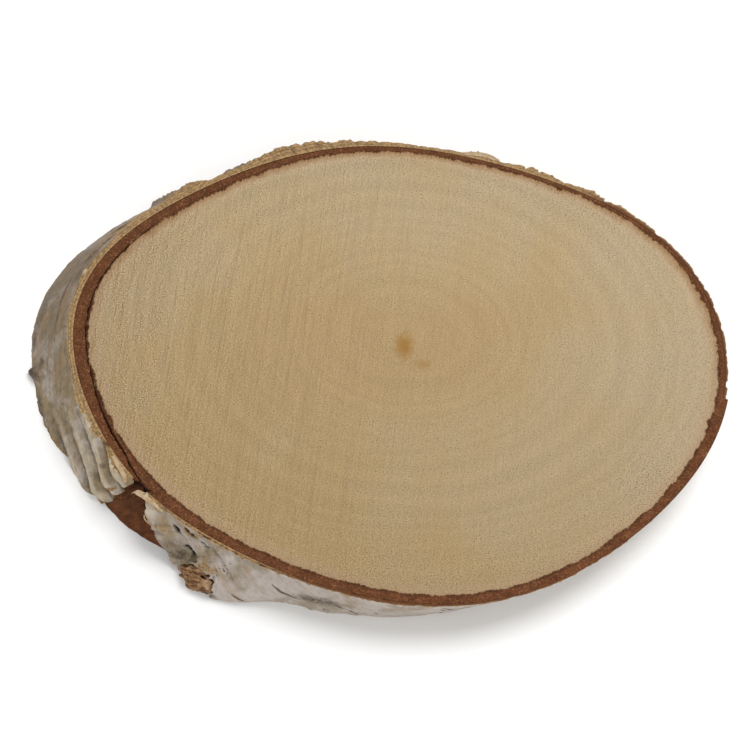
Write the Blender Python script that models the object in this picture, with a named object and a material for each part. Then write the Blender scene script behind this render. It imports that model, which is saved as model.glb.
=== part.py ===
"""Slice of a birch trunk, sawn at a slant, with its bark on.

Metres, +Z up. The slice lies on its flat underside, at z = 0, with its long axis along X, and the origin is
in the middle of the underside of its box. The trunk that it came from runs down towards -X, so the wall
overhangs the underside at +X and spreads past the top face at -X.

Angles round the trunk start at +X and turn towards +Y. Bark tears and wrinkles round a birch, at one height
on the trunk, so the torn edges and folds here follow lines of one height.
"""
import math

import bmesh
import bpy
import numpy as np
from mathutils import Vector, noise

MM = 0.001

# The saw cut
SLANT = math.radians(41.0)
THICKNESS = 17.0 * MM
SAW_ALLOWANCE = 2.0 * MM

# The middle of the top face, which puts the origin in the middle of the box
FACE_X = 9.6 * MM
FACE_Y = 1.3 * MM

# The trunk across the grain: mean radius of the wood, and its waves as (count, height, angle of a crest)
WOOD_RADIUS = 78.7 * MM
WOOD_WAVES = (
    (1, 1.05 * MM, 33),
    (2, 0.45 * MM, 47),
    (3, 1.70 * MM, 128),
    (4, 0.83 * MM, 55),
    (5, 0.40 * MM, 122),
    (6, 0.55 * MM, -82),
)
TRUNK_SIDES = 180
TRUNK_ROWS = 8

# Inner bark: thickest at the lower left
INNER_BARK = 3.05 * MM
INNER_BARK_WAVE = 1.2 * MM
INNER_BARK_CREST = 215

# Outer bark, a papery sheet round the trunk from the flap to the torn end, thickest at the upper left. It is
# rooted this deep in the inner bark, and these shares of its columns lie in the flap and in the folds
OUTER_BARK = 1.0 * MM
OUTER_BARK_WAVE = 0.55 * MM
THINNEST_BARK = 0.2 * MM
OUTER_BARK_CREST = 140
ROOTED = 0.6 * MM
BARK_COLUMNS = 170
FLAP_COLUMNS = 0.16
FOLD_COLUMNS = 0.19
ROUGHNESS = 0.25 * MM
ROUGH_GRAIN = 7.0 * MM
# Thick places on it: angle, half width in degrees, height, and how much rougher its relief is
THICK_PLACES = (
    (111, 16, 1.9 * MM, 1.8),
    (118.5, 7, 1.4 * MM, 1.0),
    (126.5, 4, 1.0 * MM, 1.0),
    (80.5, 4, 1.4 * MM, 1.4),
    (70, 8, 1.1 * MM, 1.0),
    (55, 14, 0.7 * MM, 0.6),
    (268, 14, 0.5 * MM, 0.2),
    (200, 10, 0.9 * MM, 0.3),
)

# The gap where the outer bark is torn away
FLAP_HEIGHT_ON_TRUNK = -49.5 * MM
FLAP_FALL = 6.0 * MM
FLAP_STANDS_OUT = 2.0 * MM
FLAP_END = 268
TORN_END = 219.5
TORN_END_LEAN = 3.6
NARROWEST_GAP = 2.4
FOLDS_START = 190
BARE_WALL = 1.2 * MM
BARE_WALL_MIDDLE = 231
BARE_WALL_REACH = 14
BARE_ROUGHNESS = 0.4 * MM
BARE_GRAIN = 3.0 * MM
NOTCH_ANGLE = 221.6
NOTCH_REACH = 2.6
NOTCH_DEPTH = 2.3 * MM

# The folds that end at the tear: height of the first groove on the trunk, their spacing and their depth
GROOVE = -68.0 * MM
FOLD_SPACING = 7.4 * MM
FOLD_DEPTH = 1.5 * MM
FOLD_LOBE = 1.3
ROWS_A_FOLD = 5
ROLLED_END = 0.9 * MM
ROLL_COLUMNS = 0.02

# The flap beside the gap, lifted off the trunk
LIP_LIFT = 2.6 * MM
LIP_WIDTH = 9
FLARE_LIFT = 7.3 * MM
FLARE_ANGLE = 250
FLARE_WIDTH = 14.5

# Knob low on the left end, and the chunk of inner bark that bulges out through the flap
KNOB_ANGLE = 189
KNOB_HEIGHT = 2.5 * MM
KNOB_SIZE = 3.8 * MM
KNOB_RELIEF = 2.2 * MM
CHUNK_ANGLE = 246.8
CHUNK_SIZE = (7.0 * MM, 4.2 * MM, 4.6 * MM)
CHUNK_OUT = 3.6 * MM
CHUNK_HEIGHT = 1.6 * MM
CHUNK_ROUGHNESS = 0.28

# Crack between the wood and the bark, open at the top face, which drifts out into the bark at its lower end
CRACK_START = 148
CRACK_END = 218
CRACK_WIDTH = 0.8 * MM
CRACK_DEPTH = 2.4 * MM
CRACK_OFFSET = 0.15 * MM
CRACK_DRIFT = 1.2 * MM
CRACK_COLUMNS = 48

# Colours, as linear red, green and blue
SAWN_WOOD = (0.45, 0.30, 0.15)
INNER_BARK_BROWN = (0.17, 0.06, 0.025)
OUTER_BARK_GREY = (0.45, 0.40, 0.33)


def bump(value, middle, half_width):
    """1 in the middle, falling smoothly to 0 at half_width on either side."""
    reach = abs(value - middle) / half_width
    return 0.5 + 0.5 * math.cos(math.pi * reach) if reach < 1 else 0.0


def rise(value, start, end):
    """0 up to start, 1 from end on, and smooth between them."""
    share = min(max((value - start) / (end - start), 0.0), 1.0)
    return share * share * (3 - 2 * share)


def wood_radius(angle):
    waves = sum(high * math.cos(math.radians(count * angle - crest)) for count, high, crest in WOOD_WAVES)
    return WOOD_RADIUS + waves


def inner_bark_radius(angle):
    wave = INNER_BARK_WAVE * math.cos(math.radians(angle - INNER_BARK_CREST))
    return wood_radius(angle) + INNER_BARK + wave


def wall_point(angle, radius, z):
    """The point at an angle round the trunk, a radius from its axis and a height above the underside."""
    turn = math.radians(angle)
    across = radius * math.cos(turn)
    x = (across + (z - THICKNESS) * math.sin(SLANT)) / math.cos(SLANT)
    return Vector((FACE_X + x, FACE_Y + radius * math.sin(turn), z))


def height_on_trunk(angle, radius, z):
    """How far up the trunk that point lies, from the middle of the top face."""
    across = radius * math.cos(math.radians(angle))
    return across * math.tan(SLANT) + (z - THICKNESS) / math.cos(SLANT)


def fold_wave(height):
    """1 on the crest of a fold and 0 in the narrow groove between two, from the height on the trunk."""
    return abs(math.sin(math.pi * (height - GROOVE) / FOLD_SPACING))


def torn_end(z):
    """Angle of the torn end left of the gap: each fold ends in a lobe."""
    height = height_on_trunk(TORN_END, inner_bark_radius(TORN_END), z)
    return TORN_END + TORN_END_LEAN * (1 - z / THICKNESS) + FOLD_LOBE * (2 * fold_wave(height) ** 0.7 - 1)


def flap_edge(z):
    """Angle of the flap's free edge at a height above the underside: it sinks a little and is ragged."""
    z = min(z, THICKNESS + SAW_ALLOWANCE)
    height = FLAP_HEIGHT_ON_TRUNK - FLAP_FALL * (1 - z / THICKNESS)
    across = (height - (z - THICKNESS) / math.cos(SLANT)) / math.tan(SLANT)
    angle = 180 + math.degrees(math.acos(-across / (inner_bark_radius(BARE_WALL_MIDDLE) + FLAP_STANDS_OUT)))
    ragged = 0.5 * math.sin(z / (1.9 * MM)) + 0.3 * math.sin(z / (0.8 * MM) + 1)
    return max(angle + ragged, torn_end(z) + NARROWEST_GAP)


def flap_lift(angle, z):
    """How far the sheet stands off the trunk beside the gap."""
    lip = LIP_LIFT * (1 - rise(angle, flap_edge(z), flap_edge(z) + LIP_WIDTH))
    lip *= 1 - 0.6 * rise(z, 11 * MM, THICKNESS)
    flare = FLARE_LIFT * bump(angle, FLARE_ANGLE, FLARE_WIDTH) * (1 - rise(z, 1.0 * MM, THICKNESS))
    return max(lip, flare) + 0.3 * min(lip, flare)


def bark_relief(angle, z):
    """Height of the outer bark's face above the inner bark, where the sheet isn't lifted."""
    height = height_on_trunk(angle, inner_bark_radius(angle), z)
    extra = sum(high * bump(angle, middle, wide) for middle, wide, high, rough in THICK_PLACES)
    rough = 1 + sum(rough * bump(angle, middle, wide) for middle, wide, high, rough in THICK_PLACES)
    at = wall_point(angle, inner_bark_radius(angle), z) / ROUGH_GRAIN
    lumps = noise.noise(at) + 0.6 * noise.noise(at * 2.3)
    folds = FOLD_DEPTH * (fold_wave(height) - 0.5) * rise(angle, FOLDS_START + 6, TORN_END - 8)
    folds *= 1 - rise(angle, TORN_END + 8, TORN_END + 12)
    away = math.hypot(math.radians(angle - KNOB_ANGLE) * WOOD_RADIUS, z - KNOB_HEIGHT)
    knob = KNOB_RELIEF * bump(away, 0, KNOB_SIZE)
    wave = OUTER_BARK_WAVE * math.cos(math.radians(angle - OUTER_BARK_CREST))
    return max(OUTER_BARK + wave + extra + rough * ROUGHNESS * lumps + folds + knob, THINNEST_BARK)


def row_drop(angle):
    """How far a row of the sheet has sunk at an angle, to keep to one height on the trunk along the folds."""
    start = WOOD_RADIUS * math.cos(math.radians(FOLDS_START))
    here = WOOD_RADIUS * math.cos(math.radians(min(max(angle, FOLDS_START), TORN_END)))
    return (here - start) * math.sin(SLANT)


ROW_STEP = FOLD_SPACING * math.cos(SLANT) / ROWS_A_FOLD
BARK_REACH = THICKNESS + 2 * SAW_ALLOWANCE + row_drop(TORN_END)
BARK_ROWS = math.ceil(BARK_REACH / ROW_STEP)


def bark_place(u, v, outside):
    """Place of a point of the bark sheet: u runs round from the flap to the torn end, and v upwards."""
    level = -SAW_ALLOWANCE + v * BARK_REACH
    ends = (flap_edge(level), FLAP_END, 360 + FOLDS_START, 360 + torn_end(level - row_drop(TORN_END)))
    run = np.interp(u, (0, FLAP_COLUMNS, 1 - FOLD_COLUMNS, 1), ends)
    angle = run % 360
    z = level - row_drop(angle) * (run > 360)
    lift = flap_lift(run, z) if run < FLAP_END + 10 else 0.0
    if not outside:
        return wall_point(angle, inner_bark_radius(angle) - ROOTED + lift, z)
    # The torn end is rolled: it swells just before its edge and turns in at it
    roll = ROLLED_END * bump(u, 1 - ROLL_COLUMNS, ROLL_COLUMNS)
    return wall_point(angle, inner_bark_radius(angle) + bark_relief(angle, z) + roll + lift, z)


def bare_wall(angle, z):
    """Radius of the trunk under the outer bark: the gap is rough, swells below and has a notch above."""
    gap = bump(angle, BARE_WALL_MIDDLE, BARE_WALL_REACH)
    lumps = noise.noise(wall_point(angle, WOOD_RADIUS, z) / BARE_GRAIN)
    swell = BARE_WALL * (1 - z / THICKNESS)
    notch = NOTCH_DEPTH * bump(angle, NOTCH_ANGLE, NOTCH_REACH) * rise(z, 4 * MM, 12 * MM)
    return inner_bark_radius(angle) + gap * (swell + BARE_ROUGHNESS * lumps) - notch


def crack_place(u, v, outside):
    """Place of a point of the blade that cuts the crack, thin at both ends."""
    angle = CRACK_START + u * (CRACK_END - CRACK_START)
    z = THICKNESS - CRACK_DEPTH + v * (CRACK_DEPTH + SAW_ALLOWANCE)
    wide = CRACK_WIDTH * (0.15 + 0.85 * math.sin(math.pi * u)) * (0.8 + 0.3 * math.sin(angle * 1.3))
    inside = wood_radius(angle) + CRACK_OFFSET + CRACK_DRIFT * rise(angle, 190, 214)
    return wall_point(angle, inside + (wide if outside else 0.0), z)


def new_collection(name):
    collection = bpy.data.collections.new(name)
    bpy.context.scene.collection.children.link(collection)
    return collection


def new_material(name, colour, roughness):
    material = bpy.data.materials.new(name)
    material.use_nodes = True
    shader = material.node_tree.nodes["Principled BSDF"]
    shader.inputs["Base Color"].default_value = (*colour, 1)
    shader.inputs["Roughness"].default_value = roughness
    shader.inputs["Metallic"].default_value = 0.0
    material.diffuse_color = (*colour, 1)
    return material


def new_object(name, bm, material, collection):
    """An object of a bmesh, with its faces pointing out and shaded smooth up to 35 degrees."""
    bmesh.ops.recalc_face_normals(bm, faces=bm.faces[:])
    mesh = bpy.data.meshes.new(name)
    bm.to_mesh(mesh)
    bm.free()
    mesh.shade_smooth()
    mesh.set_sharp_from_angle(angle=math.radians(35))
    mesh.materials.append(material)
    piece = bpy.data.objects.new(name, mesh)
    collection.objects.link(piece)
    return piece


def thick_grid(name, columns, rows, place, material, collection):
    """A grid given a thickness, each point put in its place by place(u, v, outside)."""
    bm = bmesh.new()
    bmesh.ops.create_grid(bm, x_segments=columns, y_segments=rows, size=0.5)
    grown = bmesh.ops.extrude_face_region(bm, geom=bm.faces[:])["geom"]
    outside = {item for item in grown if isinstance(item, bmesh.types.BMVert)}
    for vert in bm.verts:
        vert.co = place(vert.co.x + 0.5, vert.co.y + 0.5, vert in outside)
    return new_object(name, bm, material, collection)


def trunk(material, collection):
    """The wood with its inner bark, longer than the slice at both ends."""
    bm = bmesh.new()
    bmesh.ops.create_cone(bm, cap_ends=True, segments=TRUNK_SIDES, radius1=1, radius2=1, depth=1)
    for row in range(1, TRUNK_ROWS):
        everything = bm.verts[:] + bm.edges[:] + bm.faces[:]
        cut_at = Vector((0, 0, row / TRUNK_ROWS - 0.5))
        bmesh.ops.bisect_plane(bm, geom=everything, plane_co=cut_at, plane_no=(0, 0, 1))
    for vert in bm.verts:
        angle = math.degrees(math.atan2(vert.co.y, vert.co.x)) % 360
        z = -SAW_ALLOWANCE + (vert.co.z + 0.5) * (THICKNESS + 2 * SAW_ALLOWANCE)
        vert.co = wall_point(angle, bare_wall(angle, z), z)
    return new_object("birch_slice", bm, material, collection)


def torn_chunk(material, collection):
    """The rough lump of inner bark that came away with the flap."""
    bm = bmesh.new()
    bmesh.ops.create_icosphere(bm, subdivisions=3, radius=1)
    middle = wall_point(CHUNK_ANGLE, inner_bark_radius(CHUNK_ANGLE) + CHUNK_OUT, CHUNK_HEIGHT)
    outward = Vector((math.cos(math.radians(CHUNK_ANGLE)), math.sin(math.radians(CHUNK_ANGLE)), 0))
    along = Vector((-outward.y, outward.x, 0))
    long, deep, high = CHUNK_SIZE
    for vert in bm.verts:
        at = vert.co * (1 + CHUNK_ROUGHNESS * noise.noise(vert.co * 2.1))
        vert.co = middle + along * (at.x * long) + outward * (at.y * deep) + Vector((0, 0, at.z * high))
    return new_object("torn_chunk", bm, material, collection)


def saw_slab(material, collection):
    """What the two saw cuts leave: a slab as thick as the slice."""
    bm = bmesh.new()
    bmesh.ops.create_cube(bm, size=1)
    bmesh.ops.scale(bm, vec=(0.5, 0.4, THICKNESS), verts=bm.verts[:])
    bmesh.ops.translate(bm, vec=(0, 0, THICKNESS / 2), verts=bm.verts[:])
    return new_object("saw_slab", bm, material, collection)


def cut_with(piece, cutter, operation, solver="EXACT"):
    """A Boolean that keeps the cutter's own material on the faces that it makes."""
    cutter.hide_render = True
    cutter.display_type = "WIRE"
    modifier = piece.modifiers.new(cutter.name, "BOOLEAN")
    modifier.object = cutter
    modifier.operation = operation
    modifier.solver = solver
    modifier.material_mode = "TRANSFER"


def main():
    for old in list(bpy.data.objects):
        bpy.data.objects.remove(old, do_unlink=True)
    parts = new_collection("birch_wood_slice")
    cutters = new_collection("cutters")
    wood = new_material("sawn birch wood", SAWN_WOOD, 0.75)
    inner = new_material("birch inner bark", INNER_BARK_BROWN, 0.9)
    outer = new_material("birch outer bark", OUTER_BARK_GREY, 0.8)

    piece = trunk(inner, parts)
    sheet = thick_grid("bark_sheet", BARK_COLUMNS, BARK_ROWS, bark_place, outer, cutters)
    blade = thick_grid("crack_blade", CRACK_COLUMNS, 1, crack_place, inner, cutters)
    cut_with(piece, sheet, "UNION")
    cut_with(piece, torn_chunk(inner, cutters), "UNION")
    # The exact solver loses the whole slice at the saw cuts, so these two take the other one
    cut_with(piece, saw_slab(wood, cutters), "INTERSECT", "MANIFOLD")
    cut_with(piece, blade, "DIFFERENCE", "MANIFOLD")


main()
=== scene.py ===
"""Looks of a slice sawn at a slant from a birch trunk, bark on.

Metres, +Z up. The slice lies on its flat underside with its long axis along X. The trunk that it came from runs
down towards -X, at SLANT from the upright.

Angles are in degrees round the trunk, from +X towards +Y. Bark wrinkles, tears and marks run round the trunk at
one height on it, so they are placed by an angle and a height on the trunk, from the middle of the top face.
"""
import math
import random
from functools import partial

import bmesh
import bpy
import numpy as np
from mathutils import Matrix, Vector, noise


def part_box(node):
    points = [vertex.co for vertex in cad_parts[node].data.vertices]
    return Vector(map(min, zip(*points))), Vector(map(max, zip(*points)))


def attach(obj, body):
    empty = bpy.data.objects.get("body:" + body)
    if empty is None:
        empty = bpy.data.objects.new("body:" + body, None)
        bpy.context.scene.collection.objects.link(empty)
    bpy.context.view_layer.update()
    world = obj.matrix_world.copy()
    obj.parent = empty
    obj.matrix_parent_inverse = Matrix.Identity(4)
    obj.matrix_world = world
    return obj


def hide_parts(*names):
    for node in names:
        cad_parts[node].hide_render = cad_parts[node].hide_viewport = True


bl_info = {
    "name": "Birch wood slice",
    "version": (1, 0, 0),
    "blender": (4, 5, 0),
    "location": "3D View > Sidebar > Birch slice",
    "description": "Builds the wood, bark and torn places of a birch slice round its solid",
    "category": "Object",
}

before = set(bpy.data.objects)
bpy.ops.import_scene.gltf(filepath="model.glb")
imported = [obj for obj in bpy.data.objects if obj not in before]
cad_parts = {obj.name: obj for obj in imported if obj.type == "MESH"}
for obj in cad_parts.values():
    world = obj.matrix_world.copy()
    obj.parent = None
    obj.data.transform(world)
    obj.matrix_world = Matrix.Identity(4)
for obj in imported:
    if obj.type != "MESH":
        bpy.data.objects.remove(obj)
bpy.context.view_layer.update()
LOW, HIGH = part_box("birch_slice")

MM = 0.001
THICKNESS = HIGH.z - LOW.z
SLANT = math.radians(41.0)
FACE_X = 9.6 * MM
FACE_Y = 1.3 * MM

# The trunk across the grain, as in the solid: waves are (count, height, angle of a crest)
WOOD_RADIUS = 78.7 * MM
WOOD_WAVES = (
    (1, 1.05 * MM, 33),
    (2, 0.45 * MM, 47),
    (3, 1.70 * MM, 128),
    (4, 0.83 * MM, 55),
    (5, 0.40 * MM, 122),
    (6, 0.55 * MM, -82),
)
INNER_BARK = 3.05 * MM
INNER_BARK_WAVE = 1.2 * MM
INNER_BARK_CREST = 215
OUTER_BARK = 1.0 * MM
OUTER_BARK_WAVE = 0.55 * MM
OUTER_BARK_CREST = 140
THINNEST_BARK = 0.2 * MM
ROOTED = 0.15 * MM
ROOTED_MORE = 0.6 * MM
ROUGHNESS = 0.25 * MM
ROUGH_GRAIN = 7.0 * MM
# Thick places of the outer bark: angle, half width in degrees, height, and how much rougher it is there
THICK_PLACES = (
    (111, 16, 1.9 * MM, 1.8),
    (118.5, 7, 1.2 * MM, 1.0),
    (135.5, 3, 1.9 * MM, 1.0),
    (80.5, 4, 1.4 * MM, 1.4),
    (70, 8, 1.1 * MM, 1.0),
    (55, 14, 0.7 * MM, 0.6),
    (268, 14, 0.5 * MM, 0.2),
    (200, 10, 0.9 * MM, 0.3),
)

# The gap in the outer bark, between the flap and the torn end
FLAP_HEIGHT_ON_TRUNK = -49.5 * MM
FLAP_FALL = 6.0 * MM
FLAP_CORNER = 2.6
FLAP_END = 268
TORN_END = 219.5
TORN_END_LEAN = 3.6
NARROWEST_GAP = 2.4
FOLDS_START = 190
BARE_WALL = 1.2 * MM
BARE_WALL_MIDDLE = 231
BARE_WALL_REACH = 14
BARE_ROUGHNESS = 0.4 * MM
BARE_GRAIN = 3.0 * MM
NOTCH_ANGLE = 222.8
NOTCH_REACH = 2.6
NOTCH_DEPTH = 2.3 * MM

# The folds that end at the tear, and the flap
GROOVE = -68.0 * MM
FOLD_SPACING = 7.4 * MM
FOLD_LOBE = 1.3
ROLLED_END = 0.9 * MM
LIP_LIFT = 2.6 * MM
LIP_WIDTH = 9
FLARE_LIFT = 7.3 * MM
FLARE_ANGLE = 250
FLARE_WIDTH = 14.5
FLAP_EDGE_THICKNESS = 0.5 * MM

KNOB_ANGLE = 189
KNOB_HEIGHT = 2.5 * MM
KNOB_SIZE = 3.8 * MM
KNOB_RELIEF = 2.2 * MM
CHUNK_ANGLE = 246.8
CHUNK_OUT = 3.6 * MM
CHUNK_HEIGHT = 1.6 * MM

# Nicks in the rim of the outer bark: angle, half width in degrees, depth
RIM_NICKS = (
    (257, 1.1, 0.7 * MM),
    (264.7, 1.3, 0.6 * MM),
    (278, 1.0, 0.6 * MM),
    (294, 1.4, 0.4 * MM),
    (312, 1.2, 0.5 * MM),
    (319.5, 1.3, 0.5 * MM),
    (327, 1.2, 0.8 * MM),
    (333, 1.5, 0.5 * MM),
)

# How fine the meshes are
TURN_STEPS = 900
BARK_COLUMNS = 1000
BARK_ROWS = 38
FLAP_COLUMNS = 0.17
FOLD_COLUMNS = 0.15

# Crack between wood and bark at the top face, which drifts out into the bark and turns out to the notch
CRACK_START = 148
CRACK_END = 226
CRACK_OFFSET = 0.15 * MM
CRACK_DRIFT = 1.2 * MM
CRACK_TURN = 1.7 * MM

# Middle of the growth rings across the trunk in mm, and brown spots of the pith: middle, half width and
# half height in mm, and strength
RING_CENTRE = (-0.1, 10.3)
PITH_SPOTS = (
    (0.2, 5.4, 1.9, 3.7, 1.0),
    (5.3, -0.4, 1.8, 1.4, 0.5),
)


def linear(hex_colour):
    """Linear red, green and blue of an sRGB hex colour."""
    shares = [int(hex_colour[i:i + 2], 16) / 255 for i in (1, 3, 5)]
    return tuple(c / 12.92 if c <= 0.04045 else ((c + 0.055) / 1.055) ** 2.4 for c in shares)


def colour_property(name, description, hex_colour):
    return bpy.props.FloatVectorProperty(
        name=name, description=description, default=linear(hex_colour), subtype="COLOR", size=3, min=0, max=1
    )


def length_property(name, description, default):
    return bpy.props.FloatProperty(name=name, description=description, default=default, min=0, unit="LENGTH")


class BirchColours(bpy.types.PropertyGroup):
    heartwood: colour_property("Heartwood", "Wood round the pith", "#AB9168")
    sapwood: colour_property("Sapwood", "Paler wood towards the bark", "#AF9C7D")
    rim_wood: colour_property("Rim wood", "Rough pinkish wood beside the bark", "#B49A7C")
    pith: colour_property("Pith", "Spot in the middle of the rings", "#97713A")
    inner_bark: colour_property("Inner bark", "Sawn edge of the inner bark", "#653E27")
    inner_bark_fleck: colour_property("Inner bark flecks", "Light grains in the inner bark", "#946E48")
    bare_bark: colour_property("Bare inner bark", "Wall where the outer bark is gone", "#5E3822")
    paper: colour_property("Paper", "Clean face of the outer bark", "#BDB2A9")
    paper_grey: colour_property("Weathered paper", "Grey face of the outer bark", "#8F7F64")
    # Also the painted highlight on the crests of the folds
    paper_light: colour_property("Light paper", "Crests and rolled ends of the outer bark", "#D2C3AA")
    cork: colour_property("Cork", "Cut or peeled layers of the outer bark", "#A3845C")
    dirt: colour_property("Dirt", "Dirty and shaded places on the bark", "#54473A")
    # Painted shade in the grooves, creases and cork cracks
    groove: colour_property("Grooves", "Grooves between the folds and cracks in the cork", "#4A3926")
    mark: colour_property("Lenticels", "Dark dashes on the outer bark", "#6E5A48")
    torn: colour_property("Torn fibres", "Brown fibres of the torn lump", "#A07A52")
    torn_pale: colour_property("Pale torn fibres", "Tan fibres of the torn lump", "#CDB08C")


class BirchSizes(bpy.types.PropertyGroup):
    ring_spacing: length_property("Ring spacing", "From one growth ring to the next", 4.0 * MM)
    saw_spacing: length_property("Saw mark spacing", "From one saw mark to the next", 1.3 * MM)
    fibre: length_property("Wood grain", "Width of the torn fibre ends on the sawn face", 0.6 * MM)
    crack_width: length_property("Crack width", "Widest place of the crack between wood and bark", 0.8 * MM)
    crack_depth: length_property("Crack depth", "How deep that crack is", 2.4 * MM)
    fold_depth: length_property("Fold depth", "Height of the folds in the outer bark", 1.5 * MM)
    cork_edge: length_property("Cork edge", "Height of the tan edge under the top face", 0.5 * MM)
    small_marks: bpy.props.IntProperty(
        name="Small marks", description="How many small lenticels are on the bark", default=70, min=0, max=400
    )
    seed: bpy.props.IntProperty(name="Seed", description="Changes where the small marks are", default=7, min=0)


def bump(value, middle, half_width):
    """1 in the middle, falling smoothly to 0 at half_width on either side."""
    reach = abs(value - middle) / half_width
    return 0.5 + 0.5 * math.cos(math.pi * reach) if reach < 1 else 0.0


def rise(value, start, end):
    """0 up to start, 1 from end on, and smooth between them."""
    share = min(max((value - start) / (end - start), 0.0), 1.0)
    return share * share * (3 - 2 * share)


def wood_radius(angle):
    waves = sum(high * math.cos(math.radians(count * angle - crest)) for count, high, crest in WOOD_WAVES)
    return WOOD_RADIUS + waves


def inner_bark_radius(angle):
    wave = INNER_BARK_WAVE * math.cos(math.radians(angle - INNER_BARK_CREST))
    return wood_radius(angle) + INNER_BARK + wave


def wall_point(angle, radius, z):
    """The point at an angle round the trunk, a radius from its axis and a height above the underside."""
    turn = math.radians(angle)
    across = radius * math.cos(turn)
    x = (across + (z - THICKNESS) * math.sin(SLANT)) / math.cos(SLANT)
    return Vector((FACE_X + x, FACE_Y + radius * math.sin(turn), z))


def height_on_trunk(angle, radius, z):
    """How far up the trunk that point lies, from the middle of the top face."""
    across = radius * math.cos(math.radians(angle))
    return across * math.tan(SLANT) + (z - THICKNESS) / math.cos(SLANT)


def height_above_base(angle, radius, along):
    """Height above the underside of the point at an angle, a radius and a height on the trunk."""
    across = radius * math.cos(math.radians(angle))
    return THICKNESS + math.cos(SLANT) * (along - across * math.tan(SLANT))


def fold_wave(along):
    """1 on the crest of a fold and 0 in the narrow groove between two, from the height on the trunk."""
    return abs(math.sin(math.pi * (along - GROOVE) / FOLD_SPACING))


def torn_end(z):
    """Angle of the torn end left of the gap: each fold ends in a lobe."""
    along = height_on_trunk(TORN_END, inner_bark_radius(TORN_END), z)
    return TORN_END + TORN_END_LEAN * (1 - z / THICKNESS) + FOLD_LOBE * (2 * fold_wave(along) ** 0.7 - 1)


def flap_edge(z):
    """Angle of the flap's free edge: nearly one height on the trunk, and ragged."""
    along = FLAP_HEIGHT_ON_TRUNK - FLAP_FALL * (1 - z / THICKNESS)
    across = (along - (z - THICKNESS) / math.cos(SLANT)) / math.tan(SLANT)
    angle = 180 + math.degrees(math.acos(-across / (inner_bark_radius(231) + 2 * MM)))
    ragged = 0.5 * math.sin(z / (1.9 * MM)) + 0.3 * math.sin(z / (0.8 * MM) + 1)
    ragged += 0.6 * noise.noise(Vector((z / (0.6 * MM), 0, 0))) - FLAP_CORNER * rise(z, 10 * MM, 16 * MM)
    return max(angle + ragged, torn_end(z) + NARROWEST_GAP)


def flap_lift(angle, z):
    """How far the sheet stands off the trunk beside the gap."""
    lip = LIP_LIFT * (1 - rise(angle, flap_edge(z), flap_edge(z) + LIP_WIDTH))
    lip *= 1 - 0.95 * rise(z, 11 * MM, THICKNESS)
    flare = FLARE_LIFT * bump(angle, FLARE_ANGLE, FLARE_WIDTH) * (1 - rise(z, 1.0 * MM, THICKNESS))
    return max(lip, flare) + 0.3 * min(lip, flare)


# Slits and creases in the flap, open or pinched: ends as (angle, height on the trunk), half width and depth
SLITS = (
    ((233.4, -45.0 * MM), (235.8, -44.2 * MM), 1.2 * MM, 1.3 * MM),
    ((235.0, -41.6 * MM), (236.4, -41.0 * MM), 1.0 * MM, 0.9 * MM),
    ((236.5, -40.9 * MM), (238.0, -40.1 * MM), 0.9 * MM, 0.9 * MM),
    ((239.0, -38.7 * MM), (241.7, -37.0 * MM), 0.5 * MM, 0.5 * MM),
    ((238.7, -45.4 * MM), (240.7, -44.0 * MM), 1.3 * MM, 1.7 * MM),
    ((240.5, -44.0 * MM), (242.4, -44.5 * MM), 1.4 * MM, 1.7 * MM),
)
CREASES = (
    ((241.7, -36.0 * MM), (250.0, -34.4 * MM), 1.2 * MM, 0.5 * MM),
    ((230.8, -51.6 * MM), (233.2, -46.0 * MM), 0.9 * MM, 0.5 * MM),
    ((232.2, -51.2 * MM), (234.8, -48.6 * MM), 0.8 * MM, 0.4 * MM),
)
# Patches painted on the outer bark: angle, height above the underside, half length round the trunk, half height
# and strength. Cork is where the tan layers show. The dark patches are partly dirt and partly painted shade
CORK_PATCHES = (
    (106, 17 * MM, 54 * MM, 14 * MM, 1.0),
    (128, 17 * MM, 22 * MM, 10 * MM, 1.0),
    (145, 14 * MM, 30 * MM, 13 * MM, 1.0),
    (60, 16 * MM, 52 * MM, 16 * MM, 1.0),
    (228, 17 * MM, 5 * MM, 2.6 * MM, 0.7),
    (237, 15.5 * MM, 6 * MM, 2.4 * MM, 0.55),
    (233, 12.5 * MM, 4.5 * MM, 2.0 * MM, 0.55),
    (245.5, 8.5 * MM, 5 * MM, 4.5 * MM, 0.5),
    (220.6, 9 * MM, 1.6 * MM, 3 * MM, 0.8),
    (204, 0 * MM, 24 * MM, 1.6 * MM, 0.8),
    (160, 13 * MM, 7 * MM, 5 * MM, 0.6),
    (176, 6 * MM, 9 * MM, 3 * MM, 0.45),
    (196, 9 * MM, 5 * MM, 2 * MM, 0.4),
)
DIRT_AND_SHADE_PATCHES = (
    (240.2, 6.4 * MM, 4.0 * MM, 3.4 * MM, 1.0),
    (237.5, 9.5 * MM, 5 * MM, 4.5 * MM, 0.35),
    (189, 2.5 * MM, 5 * MM, 3.5 * MM, 1.0),
    (187, 5.0 * MM, 3 * MM, 1.6 * MM, 1.0),
    (265, 8.7 * MM, 10 * MM, 4.6 * MM, 0.8),
    (215.0, 13.0 * MM, 1.5 * MM, 1.1 * MM, 0.9),
    (167, 14.5 * MM, 5 * MM, 2.6 * MM, 0.6),
    (250.4, 1.2 * MM, 2.6 * MM, 2.4 * MM, 1.0),
    (207, 2 * MM, 14 * MM, 5 * MM, 0.3),
    (198, 1 * MM, 12 * MM, 2.4 * MM, 0.7),
    (161, 13.5 * MM, 6 * MM, 3 * MM, 1.0),
    (156.5, 14.5 * MM, 4 * MM, 2.5 * MM, 1.0),
    (151, 11 * MM, 6 * MM, 4 * MM, 0.9),
    (181, 1.5 * MM, 5 * MM, 2 * MM, 0.9),
    (173, 3 * MM, 12 * MM, 2.4 * MM, 0.5),
)
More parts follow.
